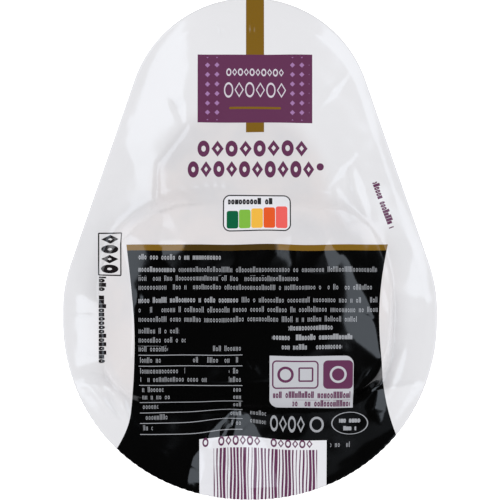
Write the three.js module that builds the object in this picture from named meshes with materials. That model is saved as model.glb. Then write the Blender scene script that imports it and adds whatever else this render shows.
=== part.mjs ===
// A smoked scamorza shut in its vacuum pack, lying on its formed side with the printed side up.
// Units are millimetres and +Z is up. The origin is under the middle of the pack, on the surface
// that it lies on, and +Y runs towards the narrow end.
//
// The pack is one closed solid: two webs of film sealed together round a flattened, pear-shaped
// cheese. Its flat rim has the outline of a bell. Both faces are heights over that outline, on
// rings that run from the crown of the cheese, past its foot, to the cut edge of the film.

import * as THREE from 'three';
import { mergeVertices } from 'three/addons/utils/BufferGeometryUtils.js';

// Outline of the rim, a bell with a round top and a fuller, elliptical lower edge
const PACK_LENGTH = 155;
const PACK_WIDTH = 115.5;
const TOP_RADIUS = 37.8;
const SIDE_LEAN = THREE.MathUtils.degToRad(19.1);
const LOWER_DEPTH = 55.6;
const LOWER_POWER = 2.06;
const CORNER_BLEND = 2.5;

// Film, and the fillet that it makes where it comes down onto the rim
const FILM = 0.5;
const FILLET = 0.5;

// The cheese, a wide body and a narrower head that meet at a neck, where the film bridges the
// hollow between them. Each has its middle, its half-sizes where the film comes down onto the
// rim, and how far it stands below the rim on the formed side. The body reaches further towards
// the head, and its wide end is fuller than an ellipse.
const BODY = { x: -1.4, y: -18, halfWidth: 45.6, halfLength: 33.5, formed: 31.5 };
const NECK = { x: -3, y: 4, halfWidth: 33, halfLength: 20, formed: 27.2 };
const HEAD = { x: -3, y: 17.5, halfWidth: 26.8, halfLength: 26.2, formed: 26.2 };
const TOWARDS_HEAD = 38;
const HEAD_END_FULLNESS = 2.5;
const END_FULLNESS = 3.6;
const FORMED_FULLNESS = 4.8;
const FORMED_BLEND = 8;
const FORMED_SPREAD = 1.04;

// On the shown side the crown is low and nearly flat. The film comes down steeply at the sides of
// the body and more gently at its two ends.
const CROWN_HEIGHT = 14;
const CROWN_ROUNDING = 0.8;
const WALL_HEIGHT = 30;
const WALL_FULLNESS = 8;
const END_WALL_HEIGHT = 20;
const END_WALL_FULLNESS = 3.2;
const WALL_REACH = 1.3;
const EDGE_BLEND = 1.2;
const HEAD_BLEND = 7;
const LOWER_BLEND = 3;
const BLEND_REACH = 1.35;
const CREASE_BLEND = 0.5;
const SLACK_BLEND = 0.5;

// Flats that the film is drawn to round the crown of the body: a place on each, its height over
// the rim there, the way it falls and its slope, both in degrees
const BODY_FLATS = [
  { at: [0, 0.9], height: 14, heading: 90, slope: 22 },
  { at: [-10.8, 0.6], height: 14, heading: 108, slope: 25 },
  { at: [10.8, 3.4], height: 14, heading: 72, slope: 25 },
  { at: [28.7, -17.3], height: 13.6, heading: 4, slope: 21 },
  { at: [38.3, -23.5], height: 10.1, heading: 8, slope: 42 },
  { at: [33, -10.5], height: 11.8, heading: 20, slope: 42 },
  { at: [15.4, -29.6], height: 13.9, heading: -97, slope: 7.5 },
  { at: [29, -7.1], height: 13.6, heading: 30, slope: 21 },
  { at: [30.9, -5.9], height: 12.8, heading: 40, slope: 42 },
  { at: [-35.2, -9.6], height: 13.2, heading: 178, slope: 20 },
  { at: [-37.1, -15.7], height: 12, heading: 180, slope: 52 },
  { at: [-30.9, -46], height: 11.5, heading: -128, slope: 40 },
  { at: [0, -41.7], height: 12.6, heading: -90, slope: 40 },
];

// Film over the head, which rises gently from the seal. It is the lowest of its flats.
const HEAD_FLATS = [
  { at: [-29.3, 60.8], height: 0, heading: 150, slope: 17 },
  { at: [-35.8, 44.2], height: 0, heading: 162, slope: 17 },
  { at: [-35.2, 22.5], height: 0, heading: 207, slope: 17 },
  { at: [-28.7, 18.2], height: 2.2, heading: 200, slope: 9 },
  { at: [-0.9, 18.2], height: 6.6, heading: 20, slope: 8 },
  { at: [0, 75], height: 0, heading: 90, slope: 12 },
  { at: [0, 58.4], height: 3.6, heading: 90, slope: 4 },
  { at: [0, -0.3], height: 7, heading: -90, slope: 24 },
];

// Slack film that rises to the cheese from the seal. Each is the lowest of its flats.
const SLACKS = [
  // beside the body, lower left
  [
    { at: [-54.3, -25], height: 0, heading: 180, slope: 17 },
    { at: [-49.4, -12.7], height: 0, heading: 100, slope: 26 },
    { at: [-49.4, -38.6], height: 0, heading: -110, slope: 26 },
    { at: [-34, -25], height: 0, heading: 0, slope: 12 },
  ],
  [
    { at: [-51.3, -42.3], height: 0, heading: 205, slope: 17 },
    { at: [-43.2, -39.2], height: 0, heading: 90, slope: 24 },
    { at: [-45.1, -48.5], height: 0, heading: -128, slope: 24 },
    { at: [-37.1, -44.2], height: 0, heading: 0, slope: 40 },
  ],
];

// Slack film down from the lower foot of the cheese to the cut edge
const LOWER_SLACK = [
  { at: [0, -76.3], height: 0.2, heading: -90, slope: 9 },
  { at: [-39.5, -55.3], height: 0, heading: -132, slope: 16 },
  { at: [39.5, -57.1], height: 0, heading: -50, slope: 14 },
  { at: [0, -46.6], height: 6, heading: 90, slope: 45 },
];

// The formed side is pressed flat where the pack lies on it
const RIM_LEVEL = 30.5;

// Middle of the spokes, on the crown of the body
const CROWN = { x: -2.6, y: -14 };

// Gentle waves that the sealed rim takes as the film shrinks, deepest at the cut edge
const RIM_WAVE = 0.5;
const RIM_WAVES = 5;
const RIM_WAVES_FROM = 0.7;

// Main folds of the printed film. Each is a straight soft ridge, or a valley where rise is
// negative, with its half-width and how far it stands from the film round it.
const FOLDS = [
  { from: [12.4, 10.8], to: [22.2, 4.0], halfWidth: 3.0, rise: -1.4 },
  { from: [30.6, 26.5], to: [36.1, 9.9], halfWidth: 1.7, rise: 0.9 },
  { from: [20.4, 43.2], to: [30.0, 53.4], halfWidth: 1.5, rise: 0.7 },
  { from: [-26.0, 48.6], to: [-20.7, 38.0], halfWidth: 2.2, rise: -0.9 },
  { from: [-29.0, 13.6], to: [-37.4, 2.8], halfWidth: 1.6, rise: -0.8 },
  { from: [-24.1, 11.4], to: [-19.1, 1.5], halfWidth: 4.5, rise: 1.8 },
  { from: [-50.0, -41.7], to: [-39.2, -54.0], halfWidth: 1.6, rise: 0.8 },
  { from: [41.4, -11.0], to: [43.8, -23.2], halfWidth: 1.9, rise: 1.0 },
  { from: [42.0, -46.0], to: [47.9, -29.3], halfWidth: 2.2, rise: 1.0 },
  { from: [-16.4, -62.7], to: [-18.2, -74.0], halfWidth: 2.4, rise: 1.0 },
  { from: [0.3, -77.5], to: [-2.2, -54.0], halfWidth: 4.0, rise: 2.0 },
  { from: [22.9, 2.8], to: [21.6, -4.6], halfWidth: 3.6, rise: 1.3 },
];

// Fineness of the mesh: spokes round the crown, and rings on each face, of which the body or the
// whole cheese takes the inner ones and the film round it the rest. The inner rings lie closer
// towards the foot.
const SPOKES = 180;
const RINGS = 16;
const SHOWN_FOOT_RINGS = 9;
const FORMED_FOOT_RINGS = 11;
const RING_CROWDING = 1.35;

const BISECTIONS = 36;

// Places along the outline that follow from the sizes above
const TOP_CENTRE = PACK_LENGTH / 2 - TOP_RADIUS;
const WIDEST = LOWER_DEPTH - PACK_LENGTH / 2;
const SIDE_START = TOP_CENTRE + TOP_RADIUS * Math.sin(SIDE_LEAN);

// The larger of two values, with the step between them rounded off
function softMax(a, b, blend) {
  const overlap = Math.max(0, blend - Math.abs(a - b));
  return Math.max(a, b) + overlap ** 2 / (4 * blend);
}

// Half the width of the rim at a place along its length
function rimHalfWidth(y) {
  if (y >= SIDE_START) {
    return Math.sqrt(Math.max(0, TOP_RADIUS ** 2 - (y - TOP_CENTRE) ** 2));
  }
  const slanted = (TOP_RADIUS - (y - TOP_CENTRE) * Math.sin(SIDE_LEAN)) / Math.cos(SIDE_LEAN);
  const drop = Math.max(0, WIDEST - y) / LOWER_DEPTH;
  const lower = drop < 1 ? (1 - drop ** LOWER_POWER) ** (1 / LOWER_POWER) : 0;
  return -softMax(-slanted, (-PACK_WIDTH / 2) * lower, CORNER_BLEND);
}

// The smaller of two values, with the step between them rounded off
const softMin = (a, b, blend) => -softMax(-a, -b, blend);

const lowest = (heights, blend) => heights.reduce((a, b) => softMin(a, b, blend));
const highest = (heights, blend) => heights.reduce((a, b) => softMax(a, b, blend));

// How far out of a round of the cheese a place lies, one at its foot
function radiusShare(round, x, y) {
  return Math.hypot((x - round.x) / round.halfWidth, (y - round.y) / round.halfLength);
}

// Height of a flat of film, which goes on past its own edges
function flatHeight(flat, x, y) {
  const heading = THREE.MathUtils.degToRad(flat.heading);
  const outward = (x - flat.at[0]) * Math.cos(heading) + (y - flat.at[1]) * Math.sin(heading);
  return flat.height - Math.tan(THREE.MathUtils.degToRad(flat.slope)) * outward;
}

// Share of the way from the body's middle to its foot that a place lies along the pack
function bodyAlong(y) {
  return Math.abs(y - BODY.y) / (y > BODY.y ? TOWARDS_HEAD : BODY.halfLength);
}

// How far out of the body a place lies, one at its foot
function bodyShare(x, y) {
  const across = Math.abs(x - BODY.x) / BODY.halfWidth;
  const fullness = y > BODY.y ? HEAD_END_FULLNESS : END_FULLNESS;
  return (across ** fullness + bodyAlong(y) ** fullness) ** (1 / fullness);
}

// Height of the cheese's body over the rim, negative outside its foot
function shownBody(x, y) {
  const share = bodyShare(x, y);
  const easing = share > 0 ? (bodyAlong(y) / share) ** 2 : 0;
  const fullness = THREE.MathUtils.lerp(WALL_FULLNESS, END_WALL_FULLNESS, easing);
  const tallest = THREE.MathUtils.lerp(WALL_HEIGHT, END_WALL_HEIGHT, easing);
  const wall = tallest * (1 - Math.min(share, WALL_REACH) ** fullness);
  const flats = BODY_FLATS.map((flat) => flatHeight(flat, x, y));
  const sides = lowest([wall, ...flats], CREASE_BLEND);
  return softMin(CROWN_HEIGHT - CROWN_ROUNDING * share ** 2, sides, EDGE_BLEND);
}

// How softly film joins the body at a place: softest over the body, and least on the rim
function blendAt(x, y, softest) {
  const onBody = 1 - THREE.MathUtils.smoothstep(bodyShare(x, y), 1, BLEND_REACH);
  return THREE.MathUtils.lerp(CREASE_BLEND, softest, onBody);
}

// Height over the rim of film that is the lowest of some flats
function roof(flats, x, y) {
  const heights = flats.map((flat) => flatHeight(flat, x, y));
  return lowest(heights, CREASE_BLEND);
}

// Height over the rim of the film that rises from the seal to the cheese
function slackFilm(x, y) {
  const roofs = SLACKS.map((flats) => roof(flats, x, y));
  return highest([0, ...roofs], SLACK_BLEND);
}

// Depth of the cheese under the rim, negative outside its foot
function formedCheese(x, y) {
  const shares = [bodyShare(x, y), radiusShare(NECK, x, y), radiusShare(HEAD, x, y)];
  const depths = [BODY, NECK, HEAD].map(
    (round, index) => round.formed * (1 - (shares[index] / FORMED_SPREAD) ** FORMED_FULLNESS),
  );
  return highest(depths, FORMED_BLEND);
}

// The film is rounded where it comes down onto the rim
const overCheese = (height) => (height + Math.hypot(height, FILLET)) / 2;

// Height of the shown film over the rim: over the body, the head and the slack beside them
function shownFilm(x, y) {
  const body = overCheese(shownBody(x, y));
  const cheese = softMax(body, roof(HEAD_FLATS, x, y), blendAt(x, y, HEAD_BLEND));
  const film = softMax(cheese, slackFilm(x, y), CREASE_BLEND);
  return softMax(film, roof(LOWER_SLACK, x, y), blendAt(x, y, LOWER_BLEND));
}

// Distance from the crown to where a spoke leaves a region
function reach(angle, isInside) {
  let near = 0;
  let far = PACK_LENGTH;
  for (let step = 0; step < BISECTIONS; step += 1) {
    const middle = (near + far) / 2;
    const x = CROWN.x + middle * Math.cos(angle);
    const y = CROWN.y + middle * Math.sin(angle);
    if (isInside(x, y)) {
      near = middle;
    } else {
      far = middle;
    }
  }
  return near;
}

const rimReach = (angle) => reach(angle, (x, y) => Math.abs(x) < rimHalfWidth(y));
const shownReach = (angle) => reach(angle, (x, y) => bodyShare(x, y) < 1);
const formedReach = (angle) => reach(angle, (x, y) => formedCheese(x, y) > 0);

// Height that the folds add, each fading out towards its two ends
function foldRise(x, y) {
  let rise = 0;
  for (const fold of FOLDS) {
    const dx = fold.to[0] - fold.from[0];
    const dy = fold.to[1] - fold.from[1];
    const along = ((x - fold.from[0]) * dx + (y - fold.from[1]) * dy) / (dx * dx + dy * dy);
    const nearest = THREE.MathUtils.clamp(along, 0, 1);
    const gap = Math.hypot(x - fold.from[0] - nearest * dx, y - fold.from[1] - nearest * dy);
    const fade = 1 - Math.abs(2 * nearest - 1) ** 4;
    rise += fold.rise * fade * Math.exp(-((gap / fold.halfWidth) ** 2));
  }
  return rise;
}

// Share of a spoke's length, from the crown to the cut edge, at which a ring lies
function ringShare(angle, ring, isShown) {
  const footRings = isShown ? SHOWN_FOOT_RINGS : FORMED_FOOT_RINGS;
  const foot = (isShown ? shownReach(angle) : formedReach(angle)) / rimReach(angle);
  if (ring <= footRings) {
    return foot * (1 - (1 - ring / footRings) ** RING_CROWDING);
  }
  return THREE.MathUtils.lerp(foot, 1, (ring - footRings) / (RINGS - footRings));
}

// One point of the pack: its spoke, its ring, and which face it is on
function packPoint(angle, ring, isShown) {
  const share = ringShare(angle, ring, isShown);
  const distance = share * rimReach(angle);
  const x = CROWN.x + distance * Math.cos(angle);
  const y = CROWN.y + distance * Math.sin(angle);
  const onRim = THREE.MathUtils.inverseLerp(RIM_WAVES_FROM, 1, Math.max(RIM_WAVES_FROM, share));
  const wave = RIM_WAVE * onRim * Math.sin(RIM_WAVES * angle);
  if (isShown) {
    const relief = ring < RINGS ? shownFilm(x, y) + foldRise(x, y) : 0;
    return [x, y, RIM_LEVEL + FILM / 2 + relief + wave];
  }
  const depth = overCheese(formedCheese(x, y));
  return [x, y, Math.max(0, RIM_LEVEL - FILM / 2 - depth + wave)];
}

// A sphere's rows and columns give the rings and spokes. The row above its equator is the upper
// edge of the cut film and the row below it the lower edge.
function packGeometry() {
  const rows = 2 * RINGS + 1;
  const sphere = new THREE.SphereGeometry(1, SPOKES, rows).rotateX(Math.PI / 2);
  sphere.deleteAttribute('normal');
  sphere.deleteAttribute('uv');
  const geometry = mergeVertices(sphere);
  const position = geometry.getAttribute('position');
  for (let index = 0; index < position.count; index += 1) {
    const height = THREE.MathUtils.clamp(position.getZ(index), -1, 1);
    const row = Math.round((Math.acos(height) / Math.PI) * rows);
    const isShown = row <= RINGS;
    const ring = isShown ? row : rows - row;
    const angle = Math.atan2(position.getY(index), position.getX(index));
    position.setXYZ(index, ...packPoint(angle, ring, isShown));
  }
  geometry.computeVertexNormals();
  return geometry;
}

const film = new THREE.MeshStandardMaterial({ color: 0xe2e2e4, roughness: 0.3, metalness: 0 });
const pack = new THREE.Mesh(packGeometry(), film);
pack.name = 'sealed_pack';

const group = new THREE.Group();
group.add(pack);

export default group;
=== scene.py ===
"""A smoked cheese shut in its printed vacuum pack, lying on its formed side, printed side up.

Two webs of film, sealed together round a flattened, pear-shaped cheese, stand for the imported
solid. Sizes of the film and of its print are in millimetres, in the solid's own frame.
"""

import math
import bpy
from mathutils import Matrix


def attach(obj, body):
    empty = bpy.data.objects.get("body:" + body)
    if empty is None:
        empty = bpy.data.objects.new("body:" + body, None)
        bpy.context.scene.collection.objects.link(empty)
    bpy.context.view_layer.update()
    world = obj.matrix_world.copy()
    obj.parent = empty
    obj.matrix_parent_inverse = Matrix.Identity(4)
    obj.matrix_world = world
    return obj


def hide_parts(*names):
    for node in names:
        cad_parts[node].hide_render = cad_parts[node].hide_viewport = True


bl_info = {
    "name": "Vacuum Cheese Pack",
    "version": (1, 0, 0),
    "blender": (4, 5, 0),
    "location": "View3D > Sidebar > Cheese Pack",
    "description": "Dresses a packed solid as a printed film pack shut round a cheese",
    "category": "Object",
}

from functools import partialmethod, reduce
from typing import NamedTuple

import bmesh
import bpy
import numpy as np
from mathutils import Vector

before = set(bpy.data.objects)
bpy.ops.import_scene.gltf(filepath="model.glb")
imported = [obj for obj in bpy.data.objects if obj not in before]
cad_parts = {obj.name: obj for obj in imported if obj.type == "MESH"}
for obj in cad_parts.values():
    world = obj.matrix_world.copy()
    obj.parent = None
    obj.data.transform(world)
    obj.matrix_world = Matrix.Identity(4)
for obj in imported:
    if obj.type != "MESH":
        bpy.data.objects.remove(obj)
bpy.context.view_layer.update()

MM = 0.001
NODE = "sealed_pack"
BODY_NAME = "root"

# Outline of the rim, a bell with a round top and a fuller, elliptical lower edge
PACK_LENGTH = 155
PACK_WIDTH = 115.5
TOP_RADIUS = 37.8
SIDE_LEAN = math.radians(19.1)
LOWER_DEPTH = 55.6
LOWER_POWER = 2.06
CORNER_BLEND = 2.5
TOP_CENTRE = PACK_LENGTH / 2 - TOP_RADIUS
WIDEST = LOWER_DEPTH - PACK_LENGTH / 2
SIDE_START = TOP_CENTRE + TOP_RADIUS * math.sin(SIDE_LEAN)
BISECTIONS = 30

# Map for baking: millimetres across it, and the share, middle and edge of its small copy
BAKE_SPAN = 160
BAKE_MIDDLE = 0.5
BAKE_SMALL = 0.22
BAKE_CORNER = (0.11, 0.88)
BAKE_EDGE = 1.04
SPOKES = 2880

# The cut along the lower edge leaves small scallops
SCALLOP_PITCH = 2.4
SCALLOP_DEPTH = 0.16
SCALLOPS_FROM = -33


class Round(NamedTuple):
    """A round of the cheese: its middle, its half-sizes where the film comes down onto the rim,
    and its depth on the formed side."""

    x: float
    y: float
    half_width: float
    half_length: float
    formed: float


# The cheese under the film: a wide body, fuller than an ellipse at its wide end, a narrower head,
# and the neck, where the film bridges the hollow between them
BODY = Round(-1.4, -18, 45.6, 33.5, 31.5)
NECK = Round(-3, 4, 33, 20, 27.2)
HEAD = Round(-3, 17.5, 26.8, 26.2, 26.2)
TOWARDS_HEAD = 38
HEAD_END_FULLNESS = 2.5
END_FULLNESS = 3.6
CROWN_HEIGHT = 14
CROWN_ROUNDING = 0.8
EDGE_BLEND = 1.2
WALL_HEIGHT = 30
WALL_FULLNESS = 8
END_WALL_HEIGHT = 20
END_WALL_FULLNESS = 3.2
HEAD_BLEND = 7
CREASE_BLEND = 0.5
SLACK_BLEND = 0.5
LOWER_BLEND = 3
BLEND_REACH = 1.35
FORMED_FULLNESS = 4.8
FORMED_BLEND = 8
FORMED_SPREAD = 1.04
FILLET = 0.5
NECK_FILLET = 3.5
FILLET_GROWS = (-12, 4)
RIM_LEVEL = 30.5
CROWN = (-2.6, -14)
WALL_REACH = 1.3

# The edge of the cheese's tint, and how far it stays inside the neck
TINT_EDGE = 0.12
TINT_OFF_NECK = 0.1

# Least values that keep divisions safe, and the rounding of a ridge's top
LEAST_SHARE = 0.01
SMALLEST = 1e-9
RIDGE_ROUNDING = 0.02

# The gentle wave of the sealed rim, the share of the radius that it starts at, and how steeply
# the film settles to the rim at the cut edge
RIM_WAVE = 0.35
RIM_WAVES = 5
RIM_WAVE_FROM = 0.7
SETTLING = 18

# Unevenness: waves of several directions and lengths, whose sum never repeats
RIPPLE_WAVES = 7
RIPPLE_TURN = 2.4
RIPPLE_SHORTEST = 0.8
RIPPLE_LENGTHENS = 0.07
RIPPLE_OFFSET = 1.7

# Size, length and turn of the film's own unevenness, and of the one that shifts the print
FILM_RIPPLES = ((0.10, 17, 0.4), (0.035, 6.5, 2.1))
PRINT_RIPPLE = (0.10, 21, 1.3)

# Fine wrinkles round the foot of the cheese: their height, the level that they are strongest at,
# how many there are, and how they crowd, stray and fade
WRINKLE_HEIGHT = 0.16
WRINKLE_LEVEL = 1.6
WRINKLES = 46
WRINKLES_CROWD = 0.06
WRINKLES_STRAY = 2.2
WRINKLE_DRIFT = (22, 0.6)
WRINKLE_FADING = (30, 1.9)

# Size in millimetres of one pixel of the photograph, which is 500 pixels square and shows the
# pack but for the last two pixels of its narrow end
PHOTO_PIXELS = 500
PACK_PIXELS = 502
PHOTO_MIDDLE = (250, 249)
PIXEL = PACK_LENGTH / PACK_PIXELS


def spot(across, down):
    """The place on the pack of a pixel of the photograph."""
    return ((across - PHOTO_MIDDLE[0]) * PIXEL, (PHOTO_MIDDLE[1] - down) * PIXEL)


# Spots where the print is carried up the film: how far, their middle and their half-sizes
PRINT_LIFTS = ((0.9, -1, -57, 11, 8), (1.3, -8, -53, 10, 7))

# Flats that the film is drawn to, each by a place on it, its height there, and the way it falls
# and its slope in degrees. First those round the crown of the body.
BODY_FLATS = (
    (250, 243, 14, 90, 22),
    (215, 242, 14, 100, 25),
    (285, 238, 14, 72, 25),
    (343, 305, 13.8, 4, 21),
    (374, 325, 10.1, 8, 42),
    (357, 283, 11.8, 20, 42),
    (300, 345, 13.9, -97, 7.5),
    (344, 272, 13.2, 30, 21),
    (350, 268, 12.8, 40, 42),
    (141, 262, 13.2, 157, 21),
    (131, 300, 12.6, 182, 49),
    (150, 398, 7, -128, 38),
    (369, 374, 9, -38, 42),
    (344, 335, 13.5, -60, 17.9),
    (250, 384, 11.6, -90, 40),
)

# Film over the head, which rises gently from the seal. It is the lowest of its flats.
HEAD_FLATS = (
    (155, 52, 0, 150, 17),
    (134, 106, 0, 162, 17),
    (136, 176, 0, 207, 17),
    (157, 190, 2.2, 200, 9),
    (247, 190, 6.2, 14, 7.5),
    (250, 6, 0, 90, 12),
    (250, 60, 3.6, 90, 4),
    (250, 250, 7, -90, 24),
)

# Slack film that rises to the cheese from the seal. Each is the lowest of its flats.
SLACKS = (
    # beside the body, lower left
    ((74, 330, 0, 180, 17), (90, 290, 0, 100, 26), (90, 374, 0, -110, 26), (140, 330, 0, 0, 12)),
    ((84, 386, 0, 205, 17), (110, 376, 0, 90, 24), (104, 406, 0, -128, 24), (130, 392, 0, 0, 40)),
)

# Slack film down from the lower foot of the cheese to the cut edge
LOWER_SLACK = (
    (250, 496, 0.2, -90, 9),
    (122, 428, 0, -125, 14),
    (378, 434, 0, -50, 14),
    (250, 400, 6, 90, 45),
)

# Folds along bent lines: ridges, and valleys where the rise is negative. Each point has its
# place, a half-width and a rise. These have flat flanks.
CREASES = (
    # drawn film in the neck, right
    ((290, 214, 2, -0.3), (306, 226, 3.4, -1.1), (322, 236, 2, -0.3)),
    # on the upper right of the crown
    ((359, 264, 0.6, 0.1), (362, 268, 0.9, 0.4), (365, 272, 0.6, 0.1)),
    # upper right
    ((316, 109, 0.9, 0.1), (332, 92, 1.5, 0.65), (347, 76, 0.9, 0.1)),
    # pocket at the left of the badge
    ((170, 98, 1.2, -0.2), (178, 108, 2.4, -0.9), (183, 124, 1.2, -0.2)),
    # along the left foot of the head
    ((187, 127, 1, -0.3), (158, 165, 1.2, -0.5), (156, 205, 1.2, -0.5))
    + ((141, 225, 1, -0.5), (129, 240, 0.8, -0.2)),
    # fine lines beside the body
    ((70, 315, 0.7, -0.1), (90, 315.5, 0.9, -0.45), (101, 316, 0.7, -0.1)),
    ((90, 354, 0.5, -0.1), (98, 355, 0.6, -0.3), (103, 356, 0.5, -0.1)),
    # lower left
    ((101, 383, 1, -0.2), (110, 399, 1.5, -0.8), (120, 418, 1, -0.2)),
    ((88, 384, 1, 0.1), (104, 404, 1.6, 0.8), (123, 424, 1, 0.1)),
    ((124, 396, 1, 0.1), (126, 408, 1.6, 0.7), (131, 420, 1, 0.1)),
    # right of the body
    ((384, 288, 1, 0.1), (388, 304, 2, 1), (392, 321, 1, 0.1)),
    ((370, 365, 0.4, 0.1), (364, 375, 0.8, 0.42), (354, 392, 0.5, 0.1)),
    ((378, 383, 0.8, 0.2), (377, 394, 2.4, 0.8), (374, 408, 3, 0.9), (379, 423, 0.8, 0.1)),
    # left edge of the body
    ((139, 288, 1.6, 0.1), (140, 297, 1.8, 0.7), (140, 305, 1, 0.1)),
    # crease across the right shoulder
    ((356, 311, 0.5, -0.1), (366, 316, 0.9, -0.5), (377, 319, 0.7, -0.2)),
    # lower left of the bars
    ((212, 448, 3.6, 0.6), (207, 464, 4.6, 1.6), (195, 508, 4.4, 1.6)),
    ((150, 440, 0.5, 0.1), (172, 455, 0.8, 0.3), (198, 468, 0.6, 0.1)),
    ((136, 421, 0.6, 0.1), (142, 427, 0.9, 0.4), (149, 431, 0.6, 0.1)),
)

# Those with rounded flanks
SOFT_FOLDS = (
    # right of the head
    ((351, 168, 1.6, 0.1), (356, 190, 2.6, 0.8), (367, 217, 1.4, 0.1)),
    ((335, 190, 1.4, 0.1), (340, 204, 2.2, 0.6), (348, 218, 1.4, 0.1)),
    ((326, 186, 1.4, 0.1), (338, 170, 2.2, 0.6), (354, 156, 1.2, 0.1)),
    # narrow end
    ((218, 24, 1, 0.1), (221, 32, 1.2, 0.4), (224, 40, 1, 0.1)),
    ((252, 22, 0.8, 0.1), (252, 30, 1, 0.4), (254, 38, 0.8, 0.1)),
    # lower left of the badge
    ((198, 104, 1.4, -0.1), (214, 112, 2, -0.5), (231, 122, 1.2, -0.1)),
    # right of the body
    ((386, 398, 0.8, 0.1), (395, 372, 2.4, 1), (405, 344, 1.2, 0.1)),
    # small glint on the crown
    ((247, 358, 0.8, 0.05), (254, 366, 1.4, 0.35), (261, 372, 0.8, 0.05)),
)

# Creases whose flank on the left of the line is wider than the other by a factor
UNEVEN_CREASES = (
    # two that part at the middle of the lower foot
    (1.1, ((238, 409, 0.6, 0.2), (233, 420, 2.8, 1.1), (221, 437, 3.8, 2), (219, 450, 3.4, 0.3))),
    (
        1.8,
        ((238, 407, 0.7, 0.5), (236, 420, 2.7, 1.7), (234, 437, 4.3, 2.7))
        + ((243, 460, 5, 3.4), (249, 505, 5.8, 3.8)),
    ),
    # on the upper right of the crown
    (0.6, ((271, 245, 11, 1.6), (272, 253, 11, 1.8), (277, 264, 6, 0.2))),
    (0.56, ((325, 240, 10, 1.6), (322, 251, 10, 1.8), (318, 272, 6, 0.2))),
    # valley along the foot of the right shoulder
    (1.2, ((386, 238, 5, -0.3), (387, 254, 6.2, -1), (387, 268, 5.6, -0.8), (387, 284, 4, -0.1))),
    # streak down the left of the head, which widens to the shoulder of the body
    (2, ((160, 172, 1.2, 0.1), (172, 212, 3.2, 1), (188, 244, 8.5, 2.4), (189, 262, 4, 0.2))),
)


def colour(*levels):
    """A colour given as 0 to 255 in sRGB, as Blender's linear one."""
    linear = [((level / 255 + 0.055) / 1.055) ** 2.4 if level > 10 else level / 3295 for level in levels]
    return (*linear, 1.0)


WHITE_INK = colour(226, 226, 229)
CHEESE_TINT = colour(220, 216, 217)
CHEESE_SHADE = colour(212, 211, 214)
BLACK_INK = colour(4, 4, 4)
GOLD_INK = colour(124, 92, 22)
# Colour of the gold band where a painted reflection of the dark room darkens it
GOLD_PAINTED_REFLECTION = colour(72, 53, 15)
PLUM_INK = colour(98, 50, 83)
LILAC_INK = colour(160, 118, 168)
PANEL_WHITE = colour(226, 226, 231)
PANEL_GREY = colour(188, 189, 195)
FINE_PRINT = colour(158, 160, 165)
STAMP_INK = colour(26, 22, 24)
LINE_GREY = colour(44, 43, 46)
BADGE_INK = colour(206, 200, 210)
COOL_LIGHT = (0.80, 0.89, 1.0)
PATCH_INKS = (
    colour(12, 96, 62),
    colour(126, 182, 66),
    colour(238, 182, 66),
    colour(226, 88, 36),
    colour(234, 96, 92),
)


def soft_max(first, second, blend):
    """The larger of two values, with the step between them rounded off."""
    overlap = np.maximum(0.0, blend - np.abs(first - second))
    return np.maximum(first, second) + overlap**2 / (4 * blend)


def rim_half_width(y):
    """Half the width of the rim at places along its length."""
    round_top = np.sqrt(np.maximum(0.0, TOP_RADIUS**2 - (y - TOP_CENTRE) ** 2))
    slanted = (TOP_RADIUS - (y - TOP_CENTRE) * math.sin(SIDE_LEAN)) / math.cos(SIDE_LEAN)
    drop = np.clip((WIDEST - y) / LOWER_DEPTH, 0.0, 1.0)
    lower = (1 - drop**LOWER_POWER) ** (1 / LOWER_POWER)
    sides = -soft_max(-slanted, -PACK_WIDTH / 2 * lower, CORNER_BLEND)
    return np.where(y >= SIDE_START, round_top, sides)


def rim_reach(angle):
    """Distance from the crown to the cut edge of the film in each direction."""
    near = np.zeros_like(angle)
    far = np.full_like(angle, PACK_LENGTH)
    for _ in range(BISECTIONS):
        middle = (near + far) / 2
        x = CROWN[0] + middle * np.cos(angle)
        y = CROWN[1] + middle * np.sin(angle)
        inside = np.abs(x) < rim_half_width(y)
        near = np.where(inside, middle, near)
        far = np.where(inside, far, middle)
    return near


def scalloped(angle, reach):
    """The reach less the scallops along the lower cut edge."""
    x = CROWN[0] + reach * np.cos(angle)
    y = CROWN[1] + reach * np.sin(angle)
    steps = np.hypot(np.diff(x, prepend=x[0]), np.diff(y, prepend=y[0]))
    along = np.cumsum(steps)
    scallop = np.abs(np.sin(math.pi * along / SCALLOP_PITCH)) - 1
    return reach + np.where(y < SCALLOPS_FROM, SCALLOP_DEPTH * scallop, 0.0)


def radius_share(part, x, y):
    """How far out of a round of the cheese a place lies, one at its foot."""
    return np.hypot((x - part.x) / part.half_width, (y - part.y) / part.half_length)


def soft_min(first, second, blend):
    """The smaller of two values, with the step between them rounded off."""
    return -soft_max(-first, -second, blend)


def flat_height(flat, x, y):
    """Height of a flat of film, which goes on past its own edges."""
    across, down, height, heading, slope = flat
    place_x, place_y = spot(across, down)
    heading = math.radians(heading)
    outward = (x - place_x) * math.cos(heading) + (y - place_y) * math.sin(heading)
    return height - math.tan(math.radians(slope)) * outward


def lowest(heights, blend):
    """The smallest of several heights, rounded off where they meet."""
    return reduce(lambda total, height: soft_min(total, height, blend), heights)


def highest(heights, blend):
    """The largest of several heights, rounded off where they meet."""
    return reduce(lambda total, height: soft_max(total, height, blend), heights)


def lowest_flat(flats, x, y):
    """Height of film that is drawn to several flats."""
    return lowest([flat_height(flat, x, y) for flat in flats], CREASE_BLEND)


def eased(share):
    """A share held between 0 and 1, with a soft start and end."""
    held = np.clip(share, 0, 1)
    return held * held * (3 - 2 * held)


def along_body(y):
    """How far along the body a place lies from its middle, one at either end."""
    return np.abs(y - BODY.y) / np.where(y > BODY.y, TOWARDS_HEAD, BODY.half_length)


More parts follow.
